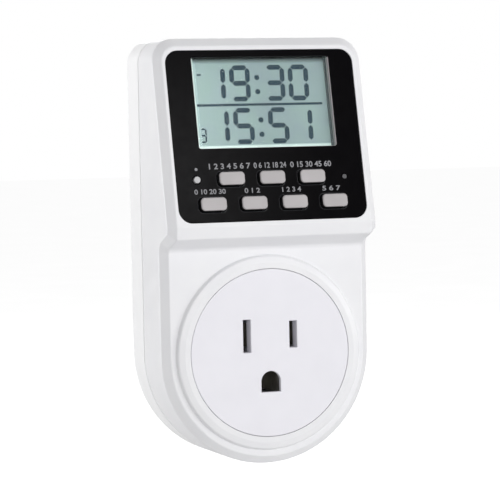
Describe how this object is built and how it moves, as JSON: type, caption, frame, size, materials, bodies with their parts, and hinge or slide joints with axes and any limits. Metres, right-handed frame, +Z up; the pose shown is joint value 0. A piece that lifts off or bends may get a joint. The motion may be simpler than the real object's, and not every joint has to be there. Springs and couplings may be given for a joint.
{
  "type": "plug-in timer switch",
  "caption": "Wall timer switch with a tilted display and key panel over a switched three-pin outlet, and a three-pin plug behind.",
  "frame": {"origin": "on the flat rear face that lies against the wall outlet, midway between the two blades", "axes": "+Y into the wall, along the blades; +Z up; +X to the right seen from the front"},
  "size_m": [0.057, 0.0546, 0.1098],
  "materials": {
    "white_abs": "satin",
    "white_nylon": "satin",
    "black_panel": "gloss",
    "clear_pane": "polished",
    "lcd_cell": "satin",
    "reflector_film": "satin",
    "natural_nylon": "moulded",
    "strip_rubber": "moulded",
    "board_laminate": "solder mask",
    "chip_epoxy": "moulded",
    "steel_can": "drawn",
    "light_pipe": "clear",
    "switch_black": "moulded",
    "contact_brass": "stamped",
    "blade_brass": "stamped and tumbled",
    "capacitor_box": "moulded",
    "capacitor_sleeve": "shrink sleeve",
    "varistor_epoxy": "dipped",
    "relay_case": "moulded",
    "soft_iron": "plated",
    "winding": "enamelled wire",
    "screw_steel": "zinc plated",
    "key_grey": "moulded",
    "reset_white": "moulded"
  },
  "bodies": {
    "housing": {"front_housing": "white_abs", "rear_cover": "white_abs", "display_bezel": "black_panel", "display_window": "clear_pane", "lcd_glass": "lcd_cell", "lcd_reflector": "reflector_film", "lcd_holder": "natural_nylon", "zebra_strips": "strip_rubber", "switch_bodies": "switch_black", "control_board": "board_laminate", "controller_chip": "chip_epoxy", "crystal": "steel_can", "backup_battery": "steel_can", "status_light_pipe": "light_pipe", "status_led": "light_pipe", "socket_insert": "white_nylon", "contact_cover": "natural_nylon", "neutral_contact": "contact_brass", "line_contact": "contact_brass", "ground_contact": "contact_brass", "neutral_blade": "blade_brass", "line_blade": "blade_brass", "ground_pin": "blade_brass", "blade_clamp": "natural_nylon", "neutral_strap": "contact_brass", "line_in_strap": "contact_brass", "line_out_strap": "contact_brass", "ground_strap": "contact_brass", "power_board": "board_laminate", "film_capacitor": "capacitor_box", "electrolytic_capacitor": "capacitor_sleeve", "varistor": "varistor_epoxy", "rectifier": "chip_epoxy", "board_link": "switch_black", "relay_base": "switch_black", "relay_cover": "relay_case", "relay_yoke": "soft_iron", "relay_coil": "winding", "relay_terminals": "contact_brass", "housing_screws": "screw_steel", "power_board_screws": "screw_steel", "control_board_screws": "screw_steel", "socket_screws": "screw_steel"},
    "key_1_body": {"key_1": "key_grey", "plunger_1": "switch_black"},
    "key_2_body": {"key_2": "key_grey", "plunger_2": "switch_black"},
    "key_3_body": {"key_3": "key_grey", "plunger_3": "switch_black"},
    "key_4_body": {"key_4": "key_grey", "plunger_4": "switch_black"},
    "key_5_body": {"key_5": "key_grey", "plunger_5": "switch_black"},
    "key_6_body": {"key_6": "key_grey", "plunger_6": "switch_black"},
    "key_7_body": {"key_7": "key_grey", "plunger_7": "switch_black"},
    "reset_body": {"reset_pin": "reset_white", "reset_plunger": "switch_black"},
    "armature_body": {"relay_armature": "soft_iron"}
  },
  "joints": [
    {"name": "key_1_press", "type": "slide", "parent": "housing", "child": "key_1_body", "axis": [0, 0.9767, -0.2147], "range_m": [0, 0.00035], "stiffness_N_per_m": 3000},
    {"name": "key_2_press", "type": "slide", "parent": "housing", "child": "key_2_body", "axis": [0, 0.9767, -0.2147], "range_m": [0, 0.00035], "stiffness_N_per_m": 3000},
    {"name": "key_3_press", "type": "slide", "parent": "housing", "child": "key_3_body", "axis": [0, 0.9767, -0.2147], "range_m": [0, 0.00035], "stiffness_N_per_m": 3000},
    {"name": "key_4_press", "type": "slide", "parent": "housing", "child": "key_4_body", "axis": [0, 0.9767, -0.2147], "range_m": [0, 0.00035], "stiffness_N_per_m": 3000},
    {"name": "key_5_press", "type": "slide", "parent": "housing", "child": "key_5_body", "axis": [0, 0.9767, -0.2147], "range_m": [0, 0.00035], "stiffness_N_per_m": 3000},
    {"name": "key_6_press", "type": "slide", "parent": "housing", "child": "key_6_body", "axis": [0, 0.9767, -0.2147], "range_m": [0, 0.00035], "stiffness_N_per_m": 3000},
    {"name": "key_7_press", "type": "slide", "parent": "housing", "child": "key_7_body", "axis": [0, 0.9767, -0.2147], "range_m": [0, 0.00035], "stiffness_N_per_m": 3000},
    {"name": "reset_press", "type": "slide", "parent": "housing", "child": "reset_body", "axis": [0, 0.9767, -0.2147], "range_m": [0, 0.00035], "stiffness_N_per_m": 2500},
    {"name": "armature_pull", "type": "hinge", "parent": "housing", "child": "armature_body", "pos_m": [0.0148, -0.0077, 0.0226], "axis": [0, 0, -1], "range_deg": [0, 4], "stiffness_Nm_per_rad": 0.02}
  ]
}
